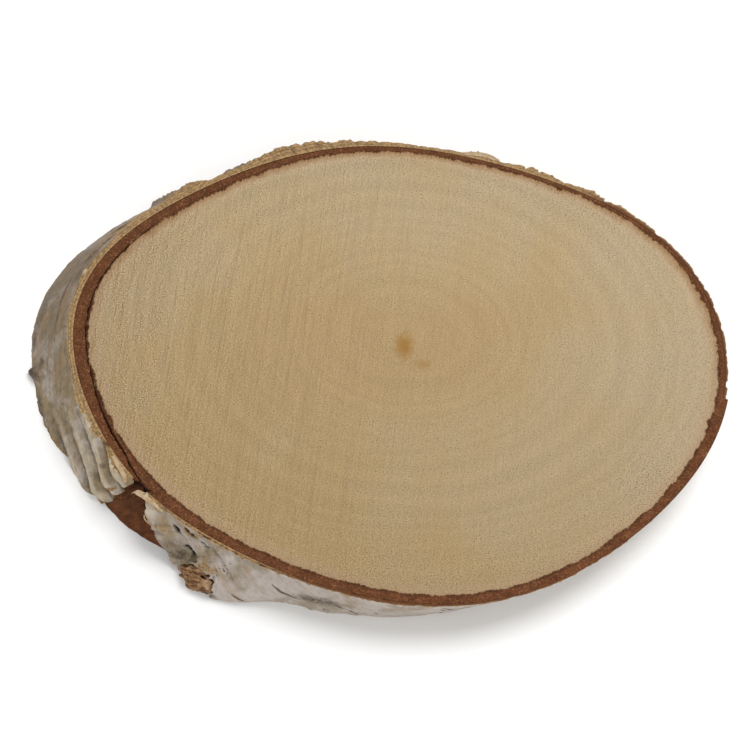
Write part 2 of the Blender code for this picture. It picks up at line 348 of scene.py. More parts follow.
LIGHT_PATCHES = (
    (221.2, 2.2 * MM, 3.4 * MM, 4.2 * MM, 1.0),
    (226.5, 15.0 * MM, 4 * MM, 3 * MM, 0.5),
    (213, 9.0 * MM, 7 * MM, 1.6 * MM, 0.5),
)
# Where the face of the bark is weathered: angle, half width in degrees, strength
WEATHERED = ((188, 62, 1.0), (238, 16, 0.6), (20, 60, 0.6), (110, 50, 0.8))


def distance_to_line(angle, along, start, end):
    """Distance on the bark from a point to a line, and how far along the line: angles and heights on the trunk."""
    turn = math.radians(1) * WOOD_RADIUS
    point = Vector((angle * turn, along))
    first, last = Vector((start[0] * turn, start[1])), Vector((end[0] * turn, end[1]))
    span = last - first
    share = min(max((point - first).dot(span) / span.length_squared, 0.0), 1.0)
    return (point - first - span * share).length, share


def line_strength(angle, along, lines):
    """How deep the deepest of some lines is at a point, and how dark: thin and shallow at their ends."""
    deepest, darkest = 0.0, 0.0
    for start, end, half_width, depth in lines:
        if start[0] - 3 < angle < end[0] + 3:
            away, share = distance_to_line(angle, along, start, end)
            wide = half_width * (0.35 + 0.65 * math.sin(math.pi * min(max(share, 0.04), 0.96)))
            strength = bump(away, 0, wide)
            deepest = max(deepest, depth * strength)
            darkest = max(darkest, strength)
    return deepest, darkest


def patch_strength(angle, z, patches):
    strongest = 0.0
    for middle, height, half_length, half_height, strength in patches:
        round_trunk = math.radians(angle - middle) * WOOD_RADIUS / half_length
        strongest = max(strongest, strength * bump(math.hypot(round_trunk, (z - height) / half_height), 0, 1.0))
    return strongest


def cork_cracks(angle):
    """Short cracks across the thick cork ridge at the far side, 1 at the middle of one."""
    place = angle + 0.7 * noise.noise(Vector((angle / 3, 0, 5)))
    across = abs((place / 2.3) % 1 - 0.5) * 2
    return rise(across, 0.66, 1.0) * (0.6 + 0.4 * noise.cell(Vector((math.floor(place / 2.3 + 0.5), 0, 0))))


def bark_relief(angle, z, fold_depth):
    """Height of the outer bark's face above the inner bark, where the sheet isn't lifted."""
    along = height_on_trunk(angle, inner_bark_radius(angle), z)
    extra = sum(high * bump(angle, middle, wide) for middle, wide, high, rough in THICK_PLACES)
    rough = 1 + sum(rough * bump(angle, middle, wide) for middle, wide, high, rough in THICK_PLACES)
    at = wall_point(angle, inner_bark_radius(angle), z) / ROUGH_GRAIN
    lumps = noise.noise(at) + 0.6 * noise.noise(at * 2.3) + 0.25 * noise.noise(at * 6)
    ridges = noise.noise(Vector((math.radians(angle) * WOOD_RADIUS / (9 * MM), along / (0.9 * MM), 3)))
    folds = fold_depth * (fold_wave(along) - 0.5) * rise(angle, FOLDS_START + 6, TORN_END - 8)
    folds *= 1 - rise(angle, TORN_END + 8, TORN_END + 12)
    away = math.hypot(math.radians(angle - KNOB_ANGLE) * WOOD_RADIUS, z - KNOB_HEIGHT)
    knob = KNOB_RELIEF * bump(away, 0, KNOB_SIZE) * (1 + 0.5 * noise.noise(at * 5))
    wave = OUTER_BARK_WAVE * math.cos(math.radians(angle - OUTER_BARK_CREST))
    crumbly = min((rough - 1) / 1.2, 1)
    cracks = 1.1 * MM * cork_cracks(angle) * crumbly
    dents = line_strength(angle, along, SLITS)[0] + line_strength(angle, along, CREASES)[0]
    crumple = noise.noise(at * 3.7) + 0.5 * noise.noise(at * 8.1)
    relief = OUTER_BARK + wave + extra + rough * ROUGHNESS * lumps + folds + knob
    relief += 0.07 * MM * ridges + (0.12 + 1.0 * crumbly) * MM * crumple
    nicks = sum(deep * bump(angle, middle, wide) for middle, wide, deep in RIM_NICKS)
    return max(relief - cracks - dents - nicks * rise(z, 9 * MM, THICKNESS), THINNEST_BARK)


def worn_rim(angle, z):
    """How much of the outer bark's thickness is left where its upper edge is worn round, over the flap."""
    return 1 - 0.7 * rise(z, 13 * MM, THICKNESS) * rise(angle, 221, 227) * (1 - rise(angle, 264, 278))


def rim_drop(angle, outward):
    """How far the sawn edge of the outer bark lies below the top face: it is chipped and worn outwards."""
    place = math.radians(angle) * WOOD_RADIUS
    chips = max(noise.noise(Vector((place / (3.2 * MM), 0, 9))) - 0.12, 0) * 1.6 * MM
    chips += max(noise.noise(Vector((place / (1.1 * MM), 4, 9))) - 0.1, 0) * 0.9 * MM
    chips *= 1 - 0.55 * rise(angle, 140, 150)
    return (0.3 * MM + chips) * rise(outward, 0.1, 1.0)


def torn_hem(angle):
    """How high the lower edge of the outer bark lies above the underside: a hole is torn over the lump."""
    hole = rise(angle, 241.6, 242.8) * (1 - rise(angle, 247.5, 251.5))
    return 7.0 * MM * hole * (1 + 0.25 * noise.noise(Vector((angle * 1.3, 0, 0))))


def bark_place(u, v, w, fold_depth):
    """A point of the bark sheet: u runs round from the flap to the torn end, v upwards and w outwards."""
    z = v * THICKNESS
    ends = (flap_edge(z), FLAP_END, 360 + FOLDS_START, 360 + torn_end(z))
    run = float(np.interp(u, (0, FLAP_COLUMNS, 1 - FOLD_COLUMNS, 1), ends))
    angle = run % 360
    if run < FLAP_END:
        z = torn_hem(angle) + v * (THICKNESS - torn_hem(angle))
    lift = flap_lift(run, z) if run < FLAP_END + 10 else 0.0
    roll = ROLLED_END * bump(u, 0.982, 0.018)
    outside = bark_relief(angle, z, fold_depth) * worn_rim(angle, z) + roll + lift
    thinning = (1 - rise(run, flap_edge(z), flap_edge(z) + 8)) * (1 - rise(z, 9 * MM, 14 * MM))
    rooted = ROOTED + ROOTED_MORE * bump(angle, 243, 26)
    inside = lift - rooted + thinning * (outside - FLAP_EDGE_THICKNESS - lift + rooted)
    radius = inner_bark_radius(angle) + inside + w * (outside - inside)
    return wall_point(angle, radius, z - v * rim_drop(angle, w)), angle, z


def bare_wall(angle, z):
    """Radius of the trunk under the outer bark: rough in the gap, with a notch at its narrow end."""
    gap = bump(angle, BARE_WALL_MIDDLE, BARE_WALL_REACH)
    at = wall_point(angle, WOOD_RADIUS, z) / BARE_GRAIN
    lumps = noise.noise(at) + 0.5 * gap * noise.noise(at * 3)
    notch = NOTCH_DEPTH * bump(angle, NOTCH_ANGLE, NOTCH_REACH) * rise(z, 4 * MM, 12 * MM)
    return inner_bark_radius(angle) + gap * (BARE_WALL * (1 - z / THICKNESS) + BARE_ROUGHNESS * lumps) - notch


def bark_surface(angle, along, out, fold_depth):
    """A point on the face of the outer bark at an angle and a height on the trunk, moved out of it by out."""
    radius = inner_bark_radius(angle)
    for again in range(3):
        z = min(max(height_above_base(angle, radius, along), 0.0), THICKNESS)
        lift = flap_lift(angle, z) if TORN_END < angle < FLAP_END + 10 else 0.0
        radius = inner_bark_radius(angle) + bark_relief(angle, z, fold_depth) * worn_rim(angle, z) + lift
    z = min(max(height_above_base(angle, radius, along), 0.0), THICKNESS)
    return wall_point(angle, radius + out, z)


def deselect_all():
    bpy.ops.object.select_all(action="DESELECT")


def active_piece(name):
    piece = bpy.context.active_object
    piece.name = piece.data.name = name
    return piece


def spun_body(name, profile, steps):
    """A closed body: a line of points (radius, height) spun a full turn round Z, and merged."""
    deselect_all()
    bpy.ops.mesh.primitive_grid_add(x_subdivisions=len(profile) - 1, y_subdivisions=1, size=1)
    piece = active_piece(name)
    bpy.ops.object.mode_set(mode="EDIT")
    bm = bmesh.from_edit_mesh(piece.data)
    for vert in bm.verts:
        vert.select = vert.co.y > 0
    bm.select_flush_mode()
    bmesh.update_edit_mesh(piece.data)
    bpy.ops.mesh.delete(type="VERT")
    bm = bmesh.from_edit_mesh(piece.data)
    line = sorted(bm.verts, key=lambda vert: vert.co.x)
    if len(line) != len(profile):
        raise RuntimeError("the profile has another number of points than its line")
    for vert, (radius, height) in zip(line, profile):
        vert.co = (radius, 0, height)
    bmesh.update_edit_mesh(piece.data)
    bpy.ops.mesh.select_all(action="SELECT")
    bpy.ops.mesh.spin(steps=steps, angle=math.tau, center=(0, 0, 0), axis=(0, 0, 1))
    bpy.ops.mesh.select_all(action="SELECT")
    bpy.ops.mesh.remove_doubles(threshold=0.01 * MM)
    bpy.ops.mesh.normals_make_consistent(inside=False)
    bpy.ops.object.mode_set(mode="OBJECT")
    return piece


def slab(name, columns, rows, edge_cuts, place):
    """A thick sheet: a grid, extruded, its edge cut into bands, and each point put in its place."""
    deselect_all()
    bpy.ops.mesh.primitive_grid_add(x_subdivisions=columns, y_subdivisions=rows, size=1)
    piece = active_piece(name)
    bpy.ops.object.mode_set(mode="EDIT")
    bpy.ops.mesh.select_all(action="SELECT")
    bpy.ops.mesh.extrude_region_move(TRANSFORM_OT_translate={"value": (0, 0, 1)})
    bm = bmesh.from_edit_mesh(piece.data)
    bm.select_mode = {"EDGE"}
    for edge in bm.edges:
        edge.select = abs(edge.verts[0].co.z - edge.verts[1].co.z) > 0.5
    bm.select_flush_mode()
    bmesh.update_edit_mesh(piece.data)
    if edge_cuts:
        bpy.ops.mesh.subdivide(number_cuts=edge_cuts)
    bpy.ops.object.mode_set(mode="OBJECT")
    put_in_place(piece, place)
    return piece


def put_in_place(piece, place):
    """Bends a flat slab: each of its points goes where place(u, v, w) says."""
    for vert in piece.data.vertices:
        vert.co = place(vert.co.x + 0.5, vert.co.y + 0.5, vert.co.z)
    face_outwards(piece)


def face_outwards(piece):
    deselect_all()
    piece.select_set(True)
    bpy.context.view_layer.objects.active = piece
    bpy.ops.object.mode_set(mode="EDIT")
    bpy.ops.mesh.select_all(action="SELECT")
    bpy.ops.mesh.normals_make_consistent(inside=False)
    bpy.ops.object.mode_set(mode="OBJECT")


def paint(piece, name, values):
    """Keeps a number for each point of a piece, for its material to read."""
    attribute = piece.data.attributes.new(name, "FLOAT", "POINT")
    attribute.data.foreach_set("value", values)


def finish_piece(piece, material, sharp_from=50):
    """Shades a piece, gives it its material and ties it to the slice."""
    deselect_all()
    piece.select_set(True)
    bpy.context.view_layer.objects.active = piece
    bpy.ops.object.shade_smooth_by_angle(angle=math.radians(sharp_from))
    piece.data.materials.clear()
    piece.data.materials.append(material)
    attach(piece, "root")
    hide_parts("birch_slice")


def join(pieces, name):
    deselect_all()
    for piece in pieces:
        piece.select_set(True)
    bpy.context.view_layer.objects.active = pieces[0]
    bpy.ops.object.join()
    return active_piece(name)


# Kinds of node: type, settings, and the inputs that values fill in turn where those aren't 0, 1, 2 and so on
PLUS = ("ShaderNodeMath", {"operation": "ADD"})
PLUS_CLAMPED = ("ShaderNodeMath", {"operation": "ADD", "use_clamp": True})
MINUS = ("ShaderNodeMath", {"operation": "SUBTRACT"})
TIMES = ("ShaderNodeMath", {"operation": "MULTIPLY"})
TIMES_CLAMPED = ("ShaderNodeMath", {"operation": "MULTIPLY", "use_clamp": True})
TIMES_PLUS = ("ShaderNodeMath", {"operation": "MULTIPLY_ADD"})
LARGER = ("ShaderNodeMath", {"operation": "MAXIMUM"})
VECTOR_MINUS = ("ShaderNodeVectorMath", {"operation": "SUBTRACT"})
VECTOR_TIMES = ("ShaderNodeVectorMath", {"operation": "MULTIPLY"})
LENGTH = ("ShaderNodeVectorMath", {"operation": "LENGTH"})
ATTRIBUTE = "ShaderNodeAttribute"
# Value, the two ends of its range, and what they become
RANGE = ("ShaderNodeMapRange", {})
NOISE = ("ShaderNodeTexNoise", {})
LINE_NOISE = ("ShaderNodeTexNoise", {"noise_dimensions": "1D"})
MAPPING = ("ShaderNodeMapping", {})
XYZ = ("ShaderNodeSeparateXYZ", {})
COORDINATES = ("ShaderNodeTexCoord", {})
GEOMETRY = ("ShaderNodeNewGeometry", {})
BUMP = ("ShaderNodeBump", {})
# Share, and the two colours or numbers that it blends
BLEND = ("ShaderNodeMix", {"data_type": "RGBA"}, (0, 6, 7))
SHADE = ("ShaderNodeMix", {"data_type": "RGBA", "blend_type": "MULTIPLY"}, (0, 6, 7))
BLEND_NUMBERS = ("ShaderNodeMix", {"data_type": "FLOAT"}, (0, 2, 3))


def fill(node, inputs):
    """Fills inputs of a node. Each takes a number, a colour, a socket or another node's output."""
    for name, value in inputs.items():
        socket = node.inputs[name]
        if isinstance(value, bpy.types.Node):
            value = next(output for output in value.outputs if output.enabled)
        if isinstance(value, bpy.types.NodeSocket):
            node.id_data.links.new(value, socket)
        elif socket.type == "RGBA":
            socket.default_value = (*value, 1)
        else:
            socket.default_value = value


def add_node(tree, kind, *values, **inputs):
    """Adds a node of a kind with its settings and links."""
    node_type, settings, *turns = kind
    node = tree.nodes.new(node_type)
    for name, value in settings.items():
        setattr(node, name, value)
    fill(node, dict(zip(turns[0] if turns else range(len(values)), values)) | inputs)
    return node


def new_material(name, **surface):
    """A material, its shader with these fixed values, and what adds nodes to it."""
    material = bpy.data.materials.new(name)
    material.use_nodes = True
    shader = material.node_tree.nodes["Principled BSDF"]
    fill(shader, {socket.replace("_", " "): value for socket, value in surface.items()})
    return material, shader, partial(add_node, material.node_tree)


def trunk_place(add):
    """Place in the trunk in mm: across it in X and Y, along it in Z, from the middle of the top face."""
    origin = Vector((FACE_X, FACE_Y, THICKNESS)) / MM
    turned = Vector((
        origin.x * math.cos(SLANT) - origin.z * math.sin(SLANT),
        origin.y,
        origin.x * math.sin(SLANT) + origin.z * math.cos(SLANT),
    ))
    place = add(COORDINATES).outputs["Object"]
    return add(MAPPING, Vector=place, Location=-turned, Rotation=(0, -SLANT, 0), Scale=(1 / MM, 1 / MM, 1 / MM))


def slice_place(add):
    """Place in the slice in mm, from the middle of its underside."""
    return add(MAPPING, Vector=add(COORDINATES).outputs["Object"], Scale=(1 / MM, 1 / MM, 1 / MM))


def sawn_birch(colours, sizes):
    """Sawn birch wood in its inner bark: pale wood with faint rings, saw marks across it and torn fibre ends,
    and a matt, crumbly red-brown band round it."""
    name = "sawn birch wood in inner bark"
    material, shader, add = new_material(name, IOR=1.5, Metallic=0, Specular_IOR_Level=0.1)
    trunk = trunk_place(add)
    here = slice_place(add)
    x, y, z = add(XYZ, here).outputs
    edge = add((ATTRIBUTE, {"attribute_name": "edge"})).outputs["Fac"]

    # Growth rings: the distance from their middle, made a little uneven
    flat = add(VECTOR_TIMES, trunk, (1, 1, 0))
    centred = add(VECTOR_MINUS, flat, (*RING_CENTRE, 0))
    reach = add(LENGTH, centred).outputs["Value"]
    wobble = add(NOISE, Vector=flat, Scale=1 / 26, Detail=2)
    uneven = add(TIMES_PLUS, wobble, 5.0, reach)
    ring = add(LINE_NOISE, W=uneven, Scale=MM / sizes.ring_spacing, Detail=2)

    # Saw marks run along Y, closer than they are long, and show most at the left
    saw = add(MAPPING, Vector=here, Scale=(MM / sizes.saw_spacing, 1 / 28, 1 / 28))
    saw_marks = add(NOISE, Vector=saw, Scale=1, Detail=4, Roughness=0.6)
    left = add(RANGE, x, 30.0, -80.0, 0.3, 1.3)
    saw_centred = add(MINUS, saw_marks, 0.5)
    saw_here = add(TIMES, saw_centred, left)

    # Torn fibre ends are a few tenths of a millimetre wide. They are drawn about 0.5 mm wide to show in the
    # render, some of them three times as long as wide, along the saw marks
    drawn = add(MAPPING, Vector=here, Scale=(MM / sizes.fibre, MM / sizes.fibre / 3, MM / sizes.fibre))
    grain = add(NOISE, Vector=drawn, Scale=1, Detail=3, Roughness=0.7)
    weave = add(MAPPING, Vector=here, Scale=(1 / 0.5, 1 / 0.4, 1 / 0.5))
    specks = add(NOISE, Vector=weave, Scale=1, Detail=2, Roughness=0.7)
    coarse = add(NOISE, Vector=here, Scale=1 / 19, Detail=2)
    cloud = add(NOISE, Vector=here, Scale=1 / 38, Detail=3)

    # Paler out towards the bark, as sapwood is, and paler towards the far right: partly the wood's own tone,
    # partly painted light
    pale_out = add(RANGE, reach, 18.0, 74.0, 0.0, 1.0)
    slope = add(TIMES_PLUS, x, 0.45, y)
    pale_and_lit_side = add(RANGE, slope, -70.0, 62.0, 0.0, 1.0)
    pale = add(TIMES, pale_out, pale_and_lit_side)
    cloudy = add(RANGE, cloud, 0.35, 0.65, -0.3, 0.3)
    pale_cloudy = add(PLUS_CLAMPED, pale, cloudy)
    wood = add(BLEND, pale_cloudy, colours.heartwood, colours.sapwood)
    rim_wood = add(RANGE, edge, -4.5, -0.5, 0.0, 0.6)
    wood = add(BLEND, rim_wood, wood, colours.rim_wood)
    ring_shade = add(RANGE, ring, 0.38, 0.62, 0.965, 1.02)
    saw_shade = add(RANGE, saw_here, -0.16, 0.16, 0.92, 1.07)
    grain_shade = add(RANGE, grain, 0.3, 0.7, 0.93, 1.07)
    speck_shade = add(RANGE, specks, 0.3, 0.7, 0.79, 1.2)
    pit_place = add(TIMES_PLUS, saw_here, -0.35, specks)
    pit_more = add(TIMES_PLUS, coarse, -0.12, pit_place)
    rough_side = add(RANGE, x, -60.0, -92.0, 0.05, 0.0)
    pit_more = add(PLUS, pit_more, rough_side)
    rough_rim = add(RANGE, edge, -24.0, -4.0, 0.0, -0.04)
    pit_more = add(PLUS, pit_more, rough_rim)
    pits = add(RANGE, pit_more, 0.29, 0.33, 0.0, 1.0)
    # Painted shade: the wood darkens towards the near side
    painted_shade_near = add(RANGE, y, -75.0, 40.0, 0.87, 1.0)
    shade = ring_shade
    for part in (saw_shade, painted_shade_near, grain_shade, speck_shade):
        shade = add(TIMES, shade, part)
    wood = add(SHADE, 1.0, wood, shade)
    wood = add(BLEND, pits, colours.pith, wood)
    fuzz_side = add(RANGE, x, -20.0, -88.0, 0.15, 0.8)
    fuzz = add(RANGE, specks, 0.57, 0.7, 0.0, 1.0)
    fuzz = add(TIMES, fuzz, fuzz_side)
    wood = add(BLEND, fuzz, wood, colours.paper_light)

    # The pith is a small ragged spot, with a fainter one beside it
    spot_ragged = add(NOISE, Vector=here, Scale=1 / 1.6, Detail=3)
    for across, up, half_width, half_height, strength in PITH_SPOTS:
        middle = (-across / half_width, -up / half_height, 0)
        spot = add(MAPPING, Vector=trunk, Location=middle, Scale=(1 / half_width, 1 / half_height, 0.0001))
        spot_reach = add(LENGTH, spot).outputs["Value"]
        spot_edge = add(TIMES_PLUS, spot_ragged, 1.5, spot_reach)
        pith = add(RANGE, spot_edge, 1.1, 2.4, strength, 0.0)
        wood = add(BLEND, pith, wood, colours.pith)

    # Inner bark: light and dark grains, darker beside the wood
    crumbs = add(NOISE, Vector=here, Scale=1 / 0.7, Detail=3, Roughness=0.7)
    fleck = add(RANGE, crumbs, 0.54, 0.72, 0.0, 0.85)
    flecked = add(RANGE, x, -75.0, -35.0, 1.0, 0.6)
    fleck = add(TIMES, fleck, flecked)
    bark = add(BLEND, fleck, colours.inner_bark, colours.inner_bark_fleck)
    crumb_shade = add(RANGE, crumbs, 0.3, 0.6, 0.66, 1.16)
    side = add(RANGE, x, -90.0, 110.0, 0.9, 1.02)
    near_wood = add(RANGE, edge, 0.2, 1.1, 0.62, 1.0)
    blotches = add(NOISE, Vector=here, Scale=1 / 4, Detail=2)
    blotch_shade = add(RANGE, blotches, 0.35, 0.65, 0.85, 1.2)
    bark_shade = crumb_shade
    for part in (side, blotch_shade, near_wood):
        bark_shade = add(TIMES, bark_shade, part)
    bark = add(SHADE, 1.0, bark, bark_shade)

    # The bare wall in the gap
    facing = add(XYZ, add(GEOMETRY).outputs["Normal"])
    wall = add(RANGE, facing.outputs["Z"], 0.75, 0.45, 0.0, 1.0)
    torn = add(MAPPING, Vector=trunk, Scale=(1 / 1.4, 1 / 1.4, 1 / 5))
    torn_fibres = add(NOISE, Vector=torn, Scale=1, Detail=4, Roughness=0.65)
    torn_shade = add(RANGE, torn_fibres, 0.3, 0.7, 0.45, 1.5)
    # Painted shade: the bare wall darkens towards the top of the gap, where it lies deeper in
    deep = add(RANGE, z, 3.0, 14.0, 1.3, 0.45)
    torn_shade = add(TIMES, torn_shade, deep)
    bare = add(SHADE, 1.0, colours.bare_bark, torn_shade)
    bark = add(BLEND, wall, bark, bare)

    # Painted shade: near black inside the crack between wood and bark
    under = add(RANGE, z, 16.7, 16.1, 0.0, 1.0)
    above = add(RANGE, z, 13.6, 14.2, 0.0, 1.0)
    within = add(RANGE, edge, 4.4, 3.9, 0.0, 0.93)
    crack_shade = add(TIMES, under, above)
    crack_shade = add(TIMES, crack_shade, within)

    # The border of wood and bark has bays, and the saw drags fibres along Y over it, most at the far side
    drag = add(MAPPING, Vector=here, Scale=(1 / 0.8, 1 / 1.8, 1 / 2))
    fringe = add(NOISE, Vector=drag, Scale=1, Detail=4, Roughness=0.7)
    fringe_reach = add(RANGE, y, -20.0, 60.0, 1.5, 3.4)
    fringe_out = add(MINUS, 0.47, fringe)
    fringe_out = add(TIMES, fringe_out, fringe_reach)
    border = add(PLUS, edge, fringe_out)
    bays = add(NOISE, Vector=here, Scale=1 / 5, Detail=2)
    border = add(TIMES_PLUS, bays, -2.0, border)
    border = add(PLUS, border, 1.0)
    is_bark = add(RANGE, border, -0.2, 0.2, 0.0, 1.0)
    beside = add(RANGE, border, -2.4, -0.2, 0.0, 1.0)
    far_side = add(RANGE, y, -10.0, 40.0, 0.25, 0.85)
    beside = add(TIMES, beside, far_side)
    wood = add(BLEND, beside, wood, colours.inner_bark_fleck)
    final = add(BLEND, is_bark, wood, bark)
    # Painted shade fills the crack
    final = add(BLEND, crack_shade, final, linear("#1B0C05"))

    rough = add(RANGE, is_bark, 0.0, 1.0, 0.68, 0.92)
    wood_height = add(TIMES_PLUS, pits, 0.2, saw_here)
    wood_height = add(TIMES_PLUS, grain, 0.12, wood_height)
    bark_height = add(TIMES, crumbs, 0.5)
    height = add(BLEND_NUMBERS, is_bark, wood_height, bark_height)
    relief = add(BUMP, Height=height, Distance=MM, Strength=0.8)
    fill(shader, {"Base Color": final, "Roughness": rough, "Normal": relief})
    return material


# Numbers kept for each point of the outer bark
BARK_NUMBERS = ("layer", "cork", "dirt", "slit", "groove", "light", "weather")


def papery_bark(colours, sizes):
    """Papery birch bark: matt white sheets with a faint sheen, torn and cut edges of tan cork, fine dark dashes
    round the trunk and grey weathering."""
    material, shader, add = new_material("papery birch bark", IOR=1.45, Metallic=0, Specular_IOR_Level=0.25)
    trunk = trunk_place(add)
    here = slice_place(add)
    x, y, z = add(XYZ, here).outputs
    layer, cork_here, dirt_and_shade_here, slit_here, groove_shade_here, pale_and_highlight_here, weather_here = (
        add((ATTRIBUTE, {"attribute_name": name})).outputs["Fac"] for name in BARK_NUMBERS
    )

    # Paper: streaks round the trunk 9 mm long and 1 mm high over clouds, and a mottle of 2 mm spots
    round_trunk = add(MAPPING, Vector=trunk, Scale=(1 / 9, 1 / 9, 1 / 1.0))
    streaks = add(NOISE, Vector=round_trunk, Scale=1, Detail=4, Roughness=0.6)
    clouds = add(NOISE, Vector=trunk, Scale=1 / 11, Detail=4, Roughness=0.6)
    mottle = add(NOISE, Vector=here, Scale=1 / 2.2, Detail=4, Roughness=0.7)
    cloudy = add(RANGE, clouds, 0.38, 0.62, -0.6, 0.6)
    greyness = add(PLUS_CLAMPED, weather_here, cloudy)
    paper = add(BLEND, greyness, colours.paper, colours.paper_grey)
    streak_shade = add(RANGE, streaks, 0.3, 0.7, 0.78, 1.16)
    mottle_shade = add(RANGE, mottle, 0.3, 0.7, 0.68, 1.28)
    paper_shade = add(TIMES, streak_shade, mottle_shade)
    far = add(RANGE, y, -20.0, 25.0, 1.0, 0.8)
    paper_shade = add(TIMES, paper_shade, far)
    patchy = add(RANGE, weather_here, 0.0, 1.0, 0.4, 1.0)
    paper_shade = add(BLEND_NUMBERS, patchy, 1.0, paper_shade)
    paper = add(SHADE, 1.0, paper, paper_shade)
    stain = add(NOISE, Vector=round_trunk, Scale=0.45, Detail=3, Roughness=0.65)
    stained = add(RANGE, stain, 0.5, 0.64, 0.0, 0.75)
    stained = add(TIMES, stained, patchy)
    paper = add(BLEND, stained, paper, colours.cork)
    warm = add(RANGE, y, -20.0, 25.0, 0.0, 0.5)
    paper = add(BLEND, warm, paper, colours.mark)
    # Pale patches, and a painted highlight on the crests of the folds
    light = add(TIMES_CLAMPED, pale_and_highlight_here, mottle_shade)
    paper = add(BLEND, light, paper, colours.paper_light)

    # Fine dashes, 4 mm long and 0.4 mm high
    dash_place = add(MAPPING, Vector=trunk, Scale=(1 / 4, 1 / 4, 1 / 0.45))
    dashes = add(NOISE, Vector=dash_place, Scale=1, Detail=1)
    dash = add(RANGE, dashes, 0.67, 0.76, 0.0, 0.5)
    paper = add(BLEND, dash, paper, colours.mark)

    # Tan cork shows at the cut edge, a ragged millimetre down from it, on peeled patches and inside the sheet
    cork_grain = add(NOISE, Vector=here, Scale=1 / 0.9, Detail=4, Roughness=0.65)
    cork_shade = add(RANGE, cork_grain, 0.32, 0.65, 0.45, 1.3)
    cork = add(SHADE, 1.0, colours.cork, cork_shade)
    layers = add(TIMES_PLUS, layer, 7.0, cork_grain)
    lines = add(LINE_NOISE, W=layers, Scale=1, Detail=1)
    line_shade = add(RANGE, lines, 0.35, 0.55, 0.6, 1.08)
    cork = add(SHADE, 1.0, cork, line_shade)
    ragged_place = add(MAPPING, Vector=trunk, Scale=(1 / 3, 1 / 3, 1 / 1.2))
    ragged = add(NOISE, Vector=ragged_place, Scale=1, Detail=3, Roughness=0.6)
    below = add(MINUS, THICKNESS / MM, z)
    edge_reach = add(RANGE, ragged, 0.42, 0.7, 0.0, 2 * sizes.cork_edge / MM)
    edge_left = add(MINUS, edge_reach, below)
    at_edge = add(RANGE, edge_left, -0.15, 0.15, 0.0, 1.0)
    patch = add(TIMES_PLUS, ragged, 1.4, -0.7)
    patch = add(PLUS, patch, cork_here)
    patch = add(RANGE, patch, 0.3, 0.55, 0.0, 1.0)
    base_left = add(TIMES_PLUS, edge_reach, 0.6, 0.0)
    base_left = add(MINUS, base_left, z)
    at_base = add(RANGE, base_left, -0.15, 0.15, 0.0, 1.0)
    at_edge = add(LARGER, at_edge, at_base)
    inner = add(TIMES_PLUS, ragged, 0.3, layer)
    inner = add(PLUS, inner, pale_and_highlight_here)
    inner = add(RANGE, inner, 0.98, 0.88, 0.0, 1.0)
    show_cork = add(LARGER, at_edge, patch)
    show_cork = add(LARGER, show_cork, inner)
    face = add(BLEND, show_cork, paper, cork)

    # At the right the sheet's inner layers are as brown as the inner bark
    sideways = add(TIMES_PLUS, y, -0.6, x)
    right = add(RANGE, sideways, 10.0, 35.0, 0.0, 0.9)
    brown = add(TIMES_PLUS, ragged, 0.6, layer)
    brown = add(RANGE, brown, 1.0, 0.85, 0.0, 1.0)
    brown = add(TIMES, brown, right)
    face = add(BLEND, brown, face, colours.inner_bark)

    # Dark patches are partly dirt and partly painted shade. Painted shade also darkens the grooves between the
    # folds, the creases and the cracks in the cork, and fills the open slits near black
    speckle = add(NOISE, Vector=here, Scale=1 / 1.3, Detail=4, Roughness=0.7)
    dirt_and_shade_share = add(RANGE, speckle, 0.35, 0.55, 0.3, 1.3)
    dirt_and_shade_share = add(TIMES_CLAMPED, dirt_and_shade_share, dirt_and_shade_here)
    face = add(BLEND, dirt_and_shade_share, face, colours.dirt)
    # Painted shade in the grooves, creases and cork cracks
    groove = add(TIMES, groove_shade_here, 0.85)
    face = add(BLEND, groove, face, colours.groove)
    # Painted shade fills the open slits
    face = add(BLEND, slit_here, face, linear("#20150E"))

    rough = add(RANGE, show_cork, 0.0, 1.0, 0.6, 0.9)
    height = add(TIMES, streaks, 0.25)
    cork_height = add(TIMES, cork_grain, 0.4)
    height = add(BLEND_NUMBERS, show_cork, height, cork_height)
    relief = add(BUMP, Height=height, Distance=MM, Strength=0.7)
    fill(shader, {"Base Color": face, "Roughness": rough, "Normal": relief})
    return material


def torn_fibre(colours):
    """Torn inner bark and cork: rough red-brown and orange fibres, quite matt, with painted shade, near black, in
    the hollows, under the lump and at its low end.
    """
    material, shader, add = new_material("torn birch bark fibre", IOR=1.5, Roughness=0.95, Metallic=0.0)
    here = slice_place(add)
    hollow = add((ATTRIBUTE, {"attribute_name": "hollow"})).outputs["Fac"]
    strands_place = add(MAPPING, Vector=here, Rotation=(0, 0, math.radians(35)), Scale=(1 / 5, 1 / 1.1, 1 / 1.1))
    strands = add(NOISE, Vector=strands_place, Scale=1, Detail=4, Roughness=0.65)
    light = add(RANGE, strands, 0.38, 0.56, 0.0, 1.0)
    fibre = add(BLEND, light, colours.bare_bark, colours.torn)
    pale_place = add(NOISE, Vector=here, Scale=1 / 3.0, Detail=3)
    pale = add(RANGE, pale_place, 0.5, 0.66, 0.0, 0.55)
    fibre = add(BLEND, pale, fibre, colours.torn_pale)
    # Painted shade: near black in the hollows, under the lump and at its low end
    dark = add(RANGE, hollow, 0.45, 0.85, 0.0, 0.95)
    fibre = add(BLEND, dark, fibre, linear("#1A120D"))
    relief = add(BUMP, Height=strands, Distance=0.8 * MM, Strength=0.9)
    fill(shader, {"Base Color": fibre, "Normal": relief})
    return material


def lenticel_cork(colours):
    """Lenticels, the breathing pores of the bark: long thin lips of dull dark cork."""
    material, shader, add = new_material("lenticel cork", IOR=1.5, Roughness=0.9, Metallic=0.0)
    grain = add(NOISE, Vector=slice_place(add), Scale=1 / 0.8, Detail=3)
    shade = add(RANGE, grain, 0.3, 0.7, 0.7, 1.3)
    dark = add(SHADE, 1.0, colours.mark, shade)
    fill(shader, {"Base Color": dark})
    return material


